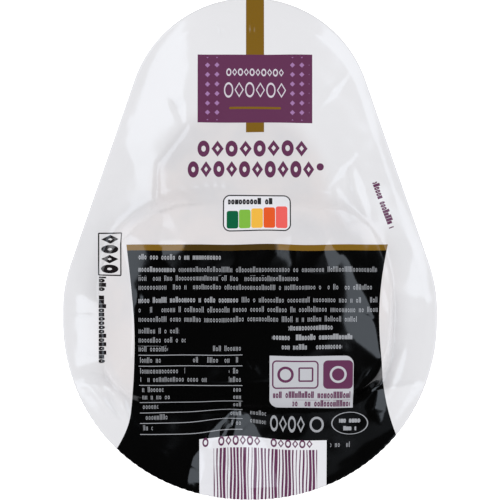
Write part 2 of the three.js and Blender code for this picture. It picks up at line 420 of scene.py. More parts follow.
def body_share(x, y):
    """How far out of the body a place lies, one at its foot."""
    across = np.abs(x - BODY.x) / BODY.half_width
    fullness = np.where(y > BODY.y, HEAD_END_FULLNESS, END_FULLNESS)
    return (across**fullness + along_body(y) ** fullness) ** (1 / fullness)


def shown_cheese(x, y):
    """Height of the cheese's body over the rim, negative outside its foot."""
    share = body_share(x, y)
    at_end = (along_body(y) / np.maximum(share, LEAST_SHARE)) ** 2
    fullness = WALL_FULLNESS + at_end * (END_WALL_FULLNESS - WALL_FULLNESS)
    tallest = WALL_HEIGHT + at_end * (END_WALL_HEIGHT - WALL_HEIGHT)
    wall = tallest * (1 - np.minimum(share, WALL_REACH) ** fullness)
    sides = lowest([wall, *(flat_height(flat, x, y) for flat in BODY_FLATS)], CREASE_BLEND)
    return soft_min(CROWN_HEIGHT - CROWN_ROUNDING * share**2, sides, EDGE_BLEND)


def cheese_tint(x, y):
    """How much the cheese shows through the film, which fades at its edge."""
    share = np.minimum(body_share(x, y), radius_share(HEAD, x, y))
    share = np.minimum(share, radius_share(NECK, x, y) + TINT_OFF_NECK)
    return eased((1 + TINT_EDGE - share) / (2 * TINT_EDGE))


def slack_film(x, y):
    """Height over the rim of the film that rises from the seal to the cheese."""
    roofs = [lowest_flat(flats, x, y) for flats in SLACKS]
    return highest([np.zeros_like(x), *roofs], SLACK_BLEND)


def formed_cheese(x, y):
    """Depth of the cheese under the rim, negative outside its foot."""
    shares = (body_share(x, y), radius_share(NECK, x, y), radius_share(HEAD, x, y))
    depths = []
    for part, share in zip((BODY, NECK, HEAD), shares):
        depths.append(part.formed * (1 - (share / FORMED_SPREAD) ** FORMED_FULLNESS))
    return highest(depths, FORMED_BLEND)


def over_cheese(height, fillet=FILLET):
    """The film is rounded where it comes down onto the rim."""
    return (height + np.hypot(height, fillet)) / 2


def fold_rise(points, x, y, is_crisp=True, left_factor=1.0):
    """Height that one fold adds to the film."""
    tallest = np.zeros_like(x)
    for start, end in zip(points, points[1:]):
        start_x, start_y = spot(*start[:2])
        end_x, end_y = spot(*end[:2])
        run_x, run_y = end_x - start_x, end_y - start_y
        from_x, from_y = x - start_x, y - start_y
        share = np.clip((from_x * run_x + from_y * run_y) / (run_x**2 + run_y**2), 0, 1)
        gap = np.hypot(from_x - share * run_x, from_y - share * run_y)
        aside = run_x * from_y - run_y * from_x
        aside = aside / np.maximum(gap * math.hypot(run_x, run_y), SMALLEST)
        leftness = (1 + np.clip(aside, -1, 1)) / 2
        width = start[2] + share * (end[2] - start[2])
        width = width * (1 + (left_factor - 1) * leftness)
        rise = start[3] + share * (end[3] - start[3])
        reach = gap / width
        if is_crisp:
            shape = np.maximum(0.0, 1 + RIDGE_ROUNDING - np.sqrt(reach**2 + RIDGE_ROUNDING))
        else:
            shape = np.maximum(0.0, 1 - reach**2) ** 2
        added = rise * shape
        tallest = np.where(np.abs(added) > np.abs(tallest), added, tallest)
    return tallest


def ripple(x, y, length, turn):
    """A gentle unevenness with about one wave in each length."""
    total = np.zeros_like(x)
    for step in range(RIPPLE_WAVES):
        heading = turn + step * RIPPLE_TURN
        wave = 2 * math.pi / (length * (RIPPLE_SHORTEST + RIPPLE_LENGTHENS * step))
        along = x * math.cos(heading) + y * math.sin(heading)
        total += np.cos(wave * along + RIPPLE_OFFSET * step * turn)
    return total / RIPPLE_WAVES**0.5


def drawn_wrinkles(x, y, angle, height):
    """Fine wrinkles that run out from the foot of the cheese."""
    at_foot = np.exp(-((height / WRINKLE_LEVEL - 1) ** 2))
    count = WRINKLES * (1 + WRINKLES_CROWD * np.sin(3 * angle + 1))
    wave = np.cos(count * angle + WRINKLES_STRAY * ripple(x, y, *WRINKLE_DRIFT))
    strength = (1 + ripple(x, y, *WRINKLE_FADING)) / 2
    return WRINKLE_HEIGHT * at_foot * np.maximum(0, strength) * wave


def film_height(x, y, angle):
    """Height of the shown film over the rim's own level."""
    cheese = shown_cheese(x, y)
    at_neck = np.clip((y - FILLET_GROWS[0]) / (FILLET_GROWS[1] - FILLET_GROWS[0]), 0, 1)
    base = over_cheese(cheese, FILLET + at_neck * (NECK_FILLET - FILLET))
    wrinkles = drawn_wrinkles(x, y, angle, over_cheese(cheese))
    at_body = eased((BLEND_REACH - body_share(x, y)) / (BLEND_REACH - 1))
    head_blend = CREASE_BLEND + at_body * (HEAD_BLEND - CREASE_BLEND)
    lower_blend = CREASE_BLEND + at_body * (LOWER_BLEND - CREASE_BLEND)
    height = soft_max(base + wrinkles, lowest_flat(HEAD_FLATS, x, y), head_blend)
    height = soft_max(height, slack_film(x, y), CREASE_BLEND)
    height = soft_max(height, lowest_flat(LOWER_SLACK, x, y), lower_blend)
    for points in CREASES:
        height = height + fold_rise(points, x, y)
    for points in SOFT_FOLDS:
        height = height + fold_rise(points, x, y, is_crisp=False)
    for left_factor, points in UNEVEN_CREASES:
        height = height + fold_rise(points, x, y, left_factor=left_factor)
    for size, length, turn in FILM_RIPPLES:
        height = height + size * ripple(x, y, length, turn)
    return height


def on_disc(across, along):
    """Moves places on a square sheet to the round one: their angle and share of the radius."""
    share = np.maximum(np.abs(across), np.abs(along))
    safe = np.where(share > 0, share, 1.0)
    wide = np.abs(across) > np.abs(along)
    from_side = math.pi / 4 * along / np.where(wide, across, safe)
    from_side = from_side + np.where(across < 0, math.pi, 0.0)
    from_top = math.pi / 4 * across / np.where(wide | (along == 0), safe, along)
    from_top = math.pi / 2 - from_top + np.where(along < 0, math.pi, 0.0)
    return np.where(wide, from_side, from_top), share


def rim_wave(angle, share):
    """The sealed rim waves gently, most at its cut edge."""
    towards_edge = np.clip((share - RIM_WAVE_FROM) / (1 - RIM_WAVE_FROM), 0, 1)
    return RIM_WAVE * towards_edge * np.sin(RIM_WAVES * angle)


def print_shift(x, y):
    """How far the print is carried up the film: at the lower foot, and in small waves."""
    total = np.zeros_like(x)
    for rise, middle_x, middle_y, half_width, half_length in PRINT_LIFTS:
        squares = ((x - middle_x) / half_width) ** 2 + ((y - middle_y) / half_length) ** 2
        total = total + rise * np.exp(-squares)
    size, length, turn = PRINT_RIPPLE
    return total + size * ripple(x, y, length, turn)


def square_mesh(name, segments, half):
    """A flat square grid, by half its side."""
    sheet = bmesh.new()
    bmesh.ops.create_grid(sheet, x_segments=segments, y_segments=segments, size=half)
    mesh = bpy.data.meshes.new(name)
    sheet.to_mesh(mesh)
    sheet.free()
    return mesh


def points_of(mesh):
    """The places of a mesh's points, and the point at each corner of its faces."""
    places = np.empty(len(mesh.vertices) * 3)
    mesh.vertices.foreach_get("co", places)
    corners = np.empty(len(mesh.loops), dtype=np.int32)
    mesh.loops.foreach_get("vertex_index", corners)
    return places.reshape(-1, 3), corners


def web_sheet(name, segments):
    """A square sheet of film, brought to the pack's outline, as a mesh."""
    mesh = square_mesh(name, segments, 1)
    flat, _ = points_of(mesh)
    angle, share = on_disc(flat[:, 0], flat[:, 1])
    turns = np.linspace(-math.pi, math.pi, SPOKES + 1)
    reach = scalloped(turns, rim_reach(turns))
    direction = np.arctan2(np.sin(angle), np.cos(angle))
    distance = share * np.interp(direction, turns, reach)
    x = CROWN[0] + distance * np.cos(angle)
    y = CROWN[1] + distance * np.sin(angle)
    return mesh, x, y, direction, share


def lay_out(mesh, x, y, z, print_y, on_cheese):
    """Sets the mesh's places and gives it the flat map of its print and the cheese's share."""
    mesh.vertices.foreach_set("co", np.column_stack((x, y, z)).ravel())
    _, corners = points_of(mesh)
    layer = mesh.uv_layers.new(name="Print")
    layer.data.foreach_set("uv", np.column_stack((x, print_y))[corners].ravel())
    mesh.update()
    mesh.attributes.new("on_cheese", "FLOAT", "POINT").data.foreach_set("value", on_cheese)


def lay_out_bake(mesh, sheet_points):
    """A second flat map without overlaps, for baking: the outer side of the film at its full size,
    and its inner side small in a free corner, with the cut edge round it."""
    points, corners = points_of(mesh)
    places = points[:, :2][corners] / (BAKE_SPAN * MM)
    is_outer = corners < sheet_points
    outer_corners = is_outer.reshape(-1, 4).sum(axis=1).repeat(4)
    full = places + BAKE_MIDDLE
    small = places * BAKE_SMALL * np.where(is_outer, BAKE_EDGE, 1.0)[:, None] + BAKE_CORNER
    layer = mesh.uv_layers.new(name="OFBake")
    layer.data.foreach_set("uv", np.where((outer_corners == 4)[:, None], full, small).ravel())


def placed(name, data):
    """A new object in the scene."""
    made = bpy.data.objects.new(name, data)
    bpy.context.scene.collection.objects.link(made)
    return made


def finished(mesh, name, material, thickness):
    """Gives the film its wall, in metres, and makes it a piece of the pack."""
    sheet_points = len(mesh.vertices)
    sheet = bmesh.new()
    sheet.from_mesh(mesh)
    bmesh.ops.scale(sheet, vec=(MM, MM, MM), verts=sheet.verts)
    bmesh.ops.solidify(sheet, geom=sheet.faces[:], thickness=thickness * MM)
    bmesh.ops.recalc_face_normals(sheet, faces=sheet.faces[:])
    sheet.to_mesh(mesh)
    sheet.free()
    lay_out_bake(mesh, sheet_points)
    mesh.shade_smooth()
    mesh.materials.append(material)
    piece = placed(name, mesh)
    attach(piece, BODY_NAME)
    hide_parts(NODE)
    return piece


class Graph:
    """Adds nodes to one node tree and links them."""

    def __init__(self, tree):
        self.tree = tree

    def node(self, kind, values=(), **settings):
        made = self.tree.nodes.new(kind)
        for name, value in settings.items():
            setattr(made, name, value)
        for index, value in enumerate(values):
            self.feed(made.inputs[index], value)
        return made

    def feed(self, socket, value):
        if isinstance(value, bpy.types.NodeSocket):
            self.tree.links.new(value, socket)
        else:
            socket.default_value = value

    def math(self, operation, *values):
        return self.node("ShaderNodeMath", values, operation=operation).outputs[0]

    plus = partialmethod(math, "ADD")
    minus = partialmethod(math, "SUBTRACT")
    times = partialmethod(math, "MULTIPLY")
    over = partialmethod(math, "DIVIDE")
    times_plus = partialmethod(math, "MULTIPLY_ADD")
    larger = partialmethod(math, "MAXIMUM")
    smaller = partialmethod(math, "MINIMUM")
    above = partialmethod(math, "GREATER_THAN")
    below = partialmethod(math, "LESS_THAN")
    fraction = partialmethod(math, "FRACT")
    whole = partialmethod(math, "FLOOR")
    size_of = partialmethod(math, "ABSOLUTE")

    def vector(self, operation, *values):
        made = self.node("ShaderNodeVectorMath", values, operation=operation)
        return made.outputs["Value" if operation == "LENGTH" else "Vector"]

    def parts(self, place):
        split = self.node("ShaderNodeSeparateXYZ", [place]).outputs
        return split["X"], split["Y"]

    def chance(self, column, row=0.0):
        """A random value for each cell, from the fraction of a large sine."""
        turn = self.times_plus(column, 12.9898, self.times(row, 78.233))
        return self.fraction(self.times(self.math("SINE", turn), 43758.55))

    def length(self, sideways, upright):
        """How far a place lies from a middle, by its distances to the side and upward."""
        squares = self.plus(self.times(sideways, sideways), self.times(upright, upright))
        return self.math("SQRT", squares)

    def mixed(self, first, second, is_second):
        """The first value, or the second one where a mask is one."""
        return self.times_plus(self.minus(second, first), is_second, first)

    def redrawn(self, chance, factor):
        """Another random value out of one."""
        return self.fraction(self.times(chance, factor))

    def fill(self, node, values):
        """Feeds the sockets of a node by their names."""
        for name, value in values.items():
            self.feed(node.inputs[name], value)
        return node.outputs

    def cloud(self, place, scale, detail):
        """A soft noise."""
        values = {"Vector": place, "Scale": scale, "Detail": detail}
        return self.fill(self.node("ShaderNodeTexNoise"), values)[0]

    def group(self, tree, **values):
        return self.fill(self.node("ShaderNodeGroup", node_tree=tree), values)

    def held(self, value):
        """A value held between 0 and 1."""
        return self.smaller(1.0, self.larger(0.0, value))

    def most(self, masks):
        """The union of several masks, each joined to the rest as it is made, because the renderer
        takes the nodes in that order and holds few values."""
        return reduce(self.larger, masks)

    def all_of(self, masks):
        """What several masks have in common, joined as they are made."""
        return reduce(self.times, masks)

    def without(self, mask, hole):
        return self.times(mask, self.minus(1.0, hole))

    def near(self, value, middle, reach):
        """One where a value lies close to another."""
        return self.below(self.size_of(self.minus(value, middle)), reach)

    def paint(self, under, ink, mask):
        """One ink over the colours under it."""
        mix = self.tree.nodes.new("ShaderNodeMix")
        mix.data_type = "RGBA"
        self.feed(mix.inputs[0], mask)
        self.feed(mix.inputs[6], under)
        self.feed(mix.inputs[7], ink)
        return mix.outputs[2]


VECTOR = "NodeSocketVector"
FLOAT = "NodeSocketFloat"
ORIGIN = (0.0, 0.0, 0.0)

# Inputs of the print's node groups besides the place, in their order
PATCH_INPUTS = {"Middle": ORIGIN, "Flat": (1.0, 1.0, 1.0), "Round": 0.1}
STROKE_INPUTS = {"Top": 0, "Pitch": 3, "Height": 1.7, "Cell": 0.87, "Weight": 0.12, "Gaps": 0.16}
BORDER_INPUTS = {"Left": 0, "Right": 10, "Middle": 0, "Height": 3, "Cell": 3, "Stroke": 0.4, "Lozenges": 1}


def new_group(name, inputs, outputs):
    """An empty shader node group with its sockets, and the graph and sockets to fill it with."""
    tree = bpy.data.node_groups.new(name, "ShaderNodeTree")
    for label, value in inputs.items():
        kind = VECTOR if isinstance(value, tuple) else FLOAT
        tree.interface.new_socket(label, in_out="INPUT", socket_type=kind).default_value = value
    for label in outputs:
        tree.interface.new_socket(label, in_out="OUTPUT", socket_type=FLOAT)
    source = tree.nodes.new("NodeGroupInput").outputs
    sink = tree.nodes.new("NodeGroupOutput").inputs
    return tree, Graph(tree), source, sink


# Fine print, in shares of one mark's cell: how many marks are low and by how much, where its two
# upright ticks stand, and the middle, half-size, line and share of the rings
LOW_SHARE = 0.55
LOW_BY = 0.27
TICKS = (0.22, 0.68)
RING_MIDDLE = (0.45, 0.64)
RING_HALF = 0.36
RING_LINE = 0.74
RING_SHARE = 0.45

# Borders: what widens a half cell to one, and the half-width of a mark, in cells
BORDER_WIDE = 2.3
BORDER_HALF = 0.42

# How fast the bars waver across and along
WAVER_TURNS = (0.8, 0.33)

# What the film's clouds turn into: span and least value
TONE = (0.05, 0.975)
ROUGHNESS = (0.08, 0.12)
PATCH_CONTRAST = (4.0, -1.5)


def print_group(name, draw, **inputs):
    """A node group that puts out one mask of the print, drawn from its place and named inputs."""
    tree, graph, source, sink = new_group(name, {"Place": ORIGIN, **inputs}, ["Mask"])
    graph.feed(sink["Mask"], draw(graph, *(source[label] for label in ("Place", *inputs))))
    return tree


def draw_patch(graph, place, middle, flat, corner):
    """A printed patch, rectangular with round corners. A circle is one that is all corner."""
    offset = graph.vector("ABSOLUTE", graph.vector("SUBTRACT", place, middle))
    beyond = graph.vector("MAXIMUM", graph.vector("SUBTRACT", offset, flat), ORIGIN)
    return graph.below(graph.vector("LENGTH", beyond), corner)


def draw_strokes(graph, place, top, pitch, height, cell, weight, gaps):
    """Tiny rings and upright ticks in rows, with gaps, that stand for fine print."""
    across, up = graph.parts(place)
    row_place = graph.over(graph.minus(top, up), pitch)
    row = graph.whole(row_place)
    down = graph.times(graph.fraction(row_place), graph.over(pitch, height))
    column_place = graph.over(across, cell)
    seed = graph.whole(graph.times(top, 10.0))
    chance = graph.chance(graph.whole(column_place), graph.plus(row, seed))
    along = graph.fraction(column_place)
    is_low = graph.below(graph.redrawn(chance, 7.31), LOW_SHARE)
    start = graph.times(is_low, LOW_BY)
    is_inside = [graph.above(down, start), graph.below(down, 1.0), graph.above(chance, gaps)]
    is_inside = graph.all_of(is_inside)
    right = graph.near(along, TICKS[1], weight)
    ticks = graph.larger(graph.near(along, TICKS[0], weight), right)
    sideways = graph.over(graph.minus(along, RING_MIDDLE[0]), RING_HALF)
    upright = graph.over(graph.minus(down, RING_MIDDLE[1]), RING_HALF)
    ring = graph.near(graph.length(sideways, upright), RING_LINE, graph.times(weight, 2.0))
    is_ring = graph.above(graph.redrawn(chance, 13.7), RING_SHARE)
    return graph.times(is_inside, graph.mixed(ticks, ring, is_ring))


def draw_border(graph, place, left, right, middle, height, cell, stroke, lozenges):
    """A row of rings and hollow lozenges by turns, a plain border."""
    across, up = graph.parts(place)
    column_place = graph.over(graph.minus(across, left), cell)
    is_odd = graph.above(graph.fraction(graph.times(column_place, 0.5)), 0.5)
    is_lozenge = graph.times(is_odd, lozenges)
    sideways = graph.size_of(graph.minus(graph.fraction(column_place), 0.5))
    sideways = graph.times(sideways, BORDER_WIDE)
    upright = graph.size_of(graph.minus(up, middle))
    upright = graph.over(upright, graph.times(height, 0.5))
    ring = graph.length(sideways, upright)
    reach = graph.mixed(ring, graph.plus(sideways, upright), is_lozenge)
    thin = graph.minus(1.0, graph.over(stroke, graph.times(cell, BORDER_HALF)))
    masks = [graph.below(reach, 1.0), graph.above(reach, thin)]
    masks += [graph.above(across, left), graph.below(across, right)]
    return graph.all_of(masks)


def draw_lozenges(graph, place, pitch, size):
    """Small lozenges in upright rows and columns, as for a tile pattern."""
    reach = []
    for part in graph.parts(place):
        step = graph.fraction(graph.over(part, pitch))
        reach.append(graph.size_of(graph.minus(step, 0.5)))
    return graph.below(graph.plus(*reach), size)


def draw_bars(graph, place, pitch, thin, spread, waver):
    """Upright bars of uneven width, which waver a little as the film is drawn."""
    across, up = graph.parts(place)
    turn = graph.times_plus(across, WAVER_TURNS[0], graph.times(up, WAVER_TURNS[1]))
    turn = graph.math("SINE", turn)
    column_place = graph.over(graph.times_plus(turn, waver, across), pitch)
    along = graph.fraction(column_place)
    chance = graph.chance(graph.whole(column_place))
    return graph.near(along, 0.5, graph.times_plus(chance, spread, thin))


def film_group():
    """The film itself: how its tone and gloss change over it, and its fine relief."""
    outputs = ["Tone", "Roughness", "Relief", "Patches"]
    tree, graph, source, sink = new_group("film finish", {"Place": ORIGIN}, outputs)
    cloud = graph.cloud(source["Place"], scale=28, detail=2)
    graph.feed(sink["Tone"], graph.times_plus(cloud, *TONE))
    graph.feed(sink["Roughness"], graph.times_plus(cloud, *ROUGHNESS))
    graph.feed(sink["Relief"], graph.cloud(source["Place"], scale=320, detail=2))
    patches = graph.cloud(source["Place"], scale=62, detail=3)
    graph.feed(sink["Patches"], graph.held(graph.times_plus(patches, *PATCH_CONTRAST)))
    return tree


# Places of the print on the flat film: left, right, lower and upper edge, and where they are
# round, the radius of their corners
STRIPE = (-1.23, 4.32, 35.8, 80)
BADGE = (-16.1, 19.16, 38.8, 59.8)
BADGE_LINE = ((-6.4, 9.5, 43, 43.7), 0.3)
BADGE_COLUMNS = ((-15.2, -9.3, 39.6, 59), (12.36, 18.26, 39.6, 59))
TITLE_DOT = ((20.5, 22.7, 24.2, 26.4), 1.05)
SWATCH_BOX = ((-8.27, 12.49, 5.4, 16.5), 2.2)
SWATCH_LINE = 0.37
SWATCHES = (-7.2, 11.5, 6.3, 13)
SWATCH_CORNER = 0.7
SWATCH_GAP = 0.1
SHORTEST_SWATCH = 0.8
GOLD_BAND = (-50, 60, -0.4, 1.4)

# Painted reflection on the gold band, a darker part where it mirrors the dark room, by its middle and
# reach, and the dark block below it
BAND_REFLECTION_REACH = (-5.9, 14.8)
BLOCK_TOP = 0.5
DRAW_SPREAD = 33

# Panels, the oval with the radius and half-width of its line, the stamped box and the table
GREY_PANEL = ((5.95, 31.6, -48.7, -32.5), 2.6)
GREY_SQUARE_CORNERS = ((5.95, 11.95, -38.5, -32.5), (25.6, 31.6, -48.7, -42.7))
OVAL = (25, 36.4, -57.2, -50)
OVAL_LINE = (0.97, 0.03)
BAR_PANEL = (-15.6, 23.6, -90, -59)
BARS = (-11.2, 20.7, -90, -61.9)
STAMP_BOX = ((-46.9, -39.2, -8.3, 5.2), 0.4)
STAMP_LINE = 0.4
SIDE_LINE_MIDDLE = (41.2, 13.6)
SIDE_LINE_TURN = math.radians(-70)
TABLE_RULES = (-32.3, -35.6, -41.6, -47.1, -50.4, -53.7, -57.2)
TABLE_LEFT = -33.9
TABLE_RIGHT = -2.3
RULE_HALF = 0.11

# Outlines on the grey panel, each with its edges, corner and line, and the plum field beside them
PANEL_OUTLINES = (
    ((6.7, 20.9, -42.7, -33.9), 1.4, 0.45),
    ((8.3, 13.3, -40.8, -35.8), 2.48, 0.8),
    ((14.7, 19.3, -40.6, -36), 0.5, 0.5),
)
PLUM_FIELD = ((22.3, 31.4, -42.7, -33.9), 1.4)
FIELD_RING = ((24.3, 29.5, -40.9, -35.7), 2.58, 0.7)

# Edges of the dark block: the place of each at the middle of the pack and its lean, how far and
# where it is drawn in, and how much and from where it flares out at its lower end
LEFT_EDGE = (-39.7, -0.0031, 4.52, -28, -0.0235, -50)
RIGHT_EDGE = (47.3, 0.0573, -6.7, -17, 0.0113, -42)

# Rows of rings and lozenges: left and right end, middle, height, the length of one cell, the width
# of the stroke, and 0 where there are only rings
BADGE_ROWS = ((-7.4, 10.5, 54.2, 2.4, 1.79, 0.32), (-8.2, 11.3, 48.8, 4.6, 3.25, 0.36))
TITLE_ROWS = ((-16.4, 18, 30.8, 4.9, 4.3, 1.15), (-19.4, 20, 24.5, 5, 3.94, 1.1))
LOWER_ROWS = ((6, 17, -54, 5.2, 2.75, 0.42), (18, 23, -54, 5, 5, 0.6, 0))
BAR_ROW_ENDS = ((-14.8, -12.4), (-9.9, 3.3), (6.2, 19.4))
BAR_ROWS = tuple((*ends, -60.1, 2.5, 2.2, 0.42) for ends in BAR_ROW_ENDS)
STAMP_ROW = (-7.7, 4.8, -43.05, 5.7, 3.1, 0.95)


class Rows(NamedTuple):
    """A block of fine print: its edges, the top, number and pitch of its rows, and the weight of
    their marks."""

    left: float
    right: float
    top: float
    weight: float = 0.10
    rows: int = 1
    pitch: float = 2.8


# Height and length of one mark of fine print, in each place
BLOCK_MARK = (1.7, 0.87)
SIDE_MARK = (2.1, 0.95)
SWATCH_MARK = (2.0, 1.15)
STAMP_MARK = (2.4, 1.3)
PANEL_MARK = (2.1, 0.98)

SIDE_ROWS = [Rows(33.6, 48.8, 14.7, 0.24)]
SWATCH_ROWS = [Rows(-6.7, 7.6, 15.6, 0.26)]
STAMP_ROWS = [Rows(-35.2, -8.6, -44.2, 0.27)]
PANEL_ROWS = [Rows(7, 30.7, -43.5, 0.2), Rows(13, 30.7, -46.2, 0.2)]
FINE_PRINT_ROWS = (
    # in the oval
    Rows(27.4, 34, -51.7, 0.3),
    Rows(28.7, 32.7, -54.2, 0.3),
    # down the dark block
    Rows(-34.1, -8.8, -1.5, 0.16),
    Rows(-34.1, -22.6, -5.3, 0.16),
    Rows(-21.8, 38.9, -5.3),
    Rows(-34.1, 14.8, -8),
    Rows(-34.1, 37.5, -10.7),
    Rows(-34.1, -3.4, -14.6, 0.16),
    Rows(-2.6, 38.9, -14.6),
    Rows(-34.1, 39.2, -17.5),
    Rows(-34.1, 32.5, -20.4),
    Rows(-34.1, -21.6, -24),
    Rows(-34.1, -19.6, -26.8),
    Rows(-34.1, -25, -29.5),
    Rows(-11.4, -2.6, -29.3),
    Rows(11.7, 25.3, -22.9, 0.16),
    Rows(6.7, 31.1, -25.8, 0.2),
    Rows(9.6, 28, -28.7, 0.16),
    Rows(-33.6, -27.2, -32.9),
    Rows(-17.4, -2.4, -32.9),
    Rows(-33.6, -19.8, -36.2),
    Rows(-33.6, -13, -38.8),
    Rows(-6.4, -2.6, -36.2, 0.1, 2, 2.6),
    Rows(-33.4, -26.4, -42),
    Rows(-33.2, -23.6, -44.4),
    Rows(-5.2, -2.6, -42, 0.1, 2, 2.6),
    Rows(-33.2, -28.2, -47.5),
    Rows(-5.2, -2.6, -47.5),
    Rows(-33, -25, -50.9),
    Rows(-6, -2.6, -50.9),
    Rows(-32.9, -30, -54.2),
    Rows(-5.6, -2.6, -54.2),
    Rows(0, 4.9, -50.2, 0.1, 2, 2.9),
    Rows(24.7, 30.9, -59.5),
)


def middle_and_half(edges):
    left, right, lower, upper = edges
    return ((left + right) / 2, (lower + upper) / 2), ((right - left) / 2, (upper - lower) / 2)


class Print(Graph):
    """The print of one web, as masks over its flat film, and the colours laid so far."""

    def __init__(self, tree, place, shade):
        super().__init__(tree)
        self.place = place
        self.shade = shade
        self.patch = print_group("printed patch", draw_patch, **PATCH_INPUTS)
        self.strokes = print_group("rows of ticks", draw_strokes, **STROKE_INPUTS)
        self.border = print_group("border", draw_border, **BORDER_INPUTS)
        self.across, self.up = self.parts(place)

    def lay(self, ink, mask):
        self.shade = self.paint(self.shade, ink, mask)

    def masked(self, tree, place=None, **values):
        return self.group(tree, Place=place or self.place, **values)["Mask"]

    def area(self, edges, corner=0.02, shrink=0.0, place=None):
        middle, half = middle_and_half(edges)
        flat = (*(max(0, size - shrink - corner) for size in half), 1)
        return self.masked(self.patch, place, Middle=(*middle, 0), Flat=flat, Round=corner)

    def outline(self, edges, corner, width):
        outer = self.area(edges, corner)
        inner = self.area(edges, max(0.05, corner - width), shrink=width)
        return self.without(outer, inner)

    def border_row(self, border, place=None):
        return self.masked(self.border, place, **dict(zip(BORDER_INPUTS, border)))

    def stroke_rows(self, blocks, mark, place=None):
        """Fine print in all of its blocks: one pattern, whose rows each block sets for itself."""
        inside, top, pitch, weight = 0.0, 0.0, 0.0, 0.0
        for block in blocks:
            lower = block.top - block.rows * block.pitch
            mask = self.area((block.left, block.right, lower, block.top), place=place)
            inside = self.larger(inside, mask)
            top = self.times_plus(mask, block.top, top)
            pitch = self.times_plus(mask, block.pitch, pitch)
            weight = self.times_plus(mask, block.weight, weight)
        values = {"Top": top, "Pitch": self.larger(pitch, 0.1), "Height": mark[0], "Cell": mark[1]}
        return self.times(inside, self.masked(self.strokes, place, **values, Weight=weight))

    def drawn_edge(self, edge):
        """Where an edge of the dark block lies at each level."""
        straight, lean, draw, draw_middle, flare, flare_from = edge
        rise = self.over(self.minus(self.up, draw_middle), DRAW_SPREAD)
        fall = self.math("EXPONENT", self.times(self.times(rise, rise), -1.0))
        line = self.times_plus(self.up, lean, straight)
        drawn = self.times_plus(fall, draw, line)
        past = self.larger(0.0, self.minus(flare_from, self.up))
        return self.times_plus(self.times(past, past), flare, drawn)

    def block(self):
        """The dark block under the gold band, and the band, between two drawn-in edges."""
        left = self.above(self.across, self.drawn_edge(LEFT_EDGE))
        right = self.below(self.across, self.drawn_edge(RIGHT_EDGE))
        inside = self.times(left, right)
        band = self.area(GOLD_BAND)
        return self.times(inside, self.below(self.up, BLOCK_TOP)), self.times(inside, band)

    def band_painted_reflection(self):
        """Painted reflection: the band's metal ink is painted darker in its middle, where it mirrors the
        dark room.
        """
        from_middle = self.size_of(self.minus(self.across, BAND_REFLECTION_REACH[0]))
        return self.held(self.minus(BAND_REFLECTION_REACH[1], from_middle))

    def oval(self):
        middle, half = middle_and_half(OVAL)
        offset = self.vector("SUBTRACT", self.place, (*middle, 0))
        reach = self.vector("MULTIPLY", offset, (1 / half[0], 1 / half[1], 0))
        return self.near(self.vector("LENGTH", reach), *OVAL_LINE)

    def light_lines(self):
        yield self.stroke_rows(FINE_PRINT_ROWS, BLOCK_MARK)
        for level in TABLE_RULES:
            yield self.area((TABLE_LEFT, TABLE_RIGHT, level - RULE_HALF, level + RULE_HALF))
        yield self.oval()
        yield from map(self.border_row, LOWER_ROWS)

    def title(self):
        yield from map(self.border_row, TITLE_ROWS)
        yield self.area(*TITLE_DOT)
        turned = self.node("ShaderNodeVectorRotate", [self.place], rotation_type="Z_AXIS")
        turned = self.fill(turned, {"Center": (*SIDE_LINE_MIDDLE, 0), "Angle": -SIDE_LINE_TURN})
        yield self.stroke_rows(SIDE_ROWS, SIDE_MARK, turned[0])

    def badge_pattern(self):
        """Lozenges in two columns on the badge."""
        tree = print_group("lozenges", draw_lozenges, Pitch=3.0, Size=0.2)
        pattern = self.masked(tree, Pitch=2.9, Size=0.27)
        columns = [self.area(edges) for edges in BADGE_COLUMNS]
        return self.times(pattern, self.most(columns))

    def swatch_lines(self):
        yield self.outline(*SWATCH_BOX, SWATCH_LINE)
        yield self.stroke_rows(SWATCH_ROWS, SWATCH_MARK)

    def swatch(self, index):
        """One of the coloured swatches, which grow taller to the right."""
        left, right, lower, upper = SWATCHES
        step = (right - left) / len(PATCH_INKS)
        left += index * step
        growth = (1 - SHORTEST_SWATCH) * index / (len(PATCH_INKS) - 1)
        top = lower + (upper - lower) * (SHORTEST_SWATCH + growth)
        return self.area((left + SWATCH_GAP, left + step - SWATCH_GAP, lower, top), SWATCH_CORNER)

    def grey_panel(self):
        yield self.area(*GREY_PANEL)
        yield from map(self.area, GREY_SQUARE_CORNERS)

    def panel_plum(self):
        for outline in PANEL_OUTLINES:
            yield self.outline(*outline)
        yield self.without(self.area(*PLUM_FIELD), self.outline(*FIELD_RING))
        yield self.stroke_rows(PANEL_ROWS, PANEL_MARK)
        yield from map(self.border_row, BAR_ROWS)
        tree = print_group("upright bars", draw_bars, Pitch=1.06, Thin=0.11, Spread=0.34, Waver=0.12)
        yield self.times(self.masked(tree), self.area(BARS))

    def stamp_marks(self):
        swapped = self.node("ShaderNodeCombineXYZ", [self.up, self.across, 0.0]).outputs[0]
        yield self.border_row(STAMP_ROW, swapped)
        yield self.outline(*STAMP_BOX, STAMP_LINE)
        yield self.stroke_rows(STAMP_ROWS, STAMP_MARK, swapped)


def new_material(name):
    """A material with its tree of nodes and its shader."""
    material = bpy.data.materials.new(name)
    material.use_nodes = True
    return material, material.node_tree, material.node_tree.nodes["Principled BSDF"]


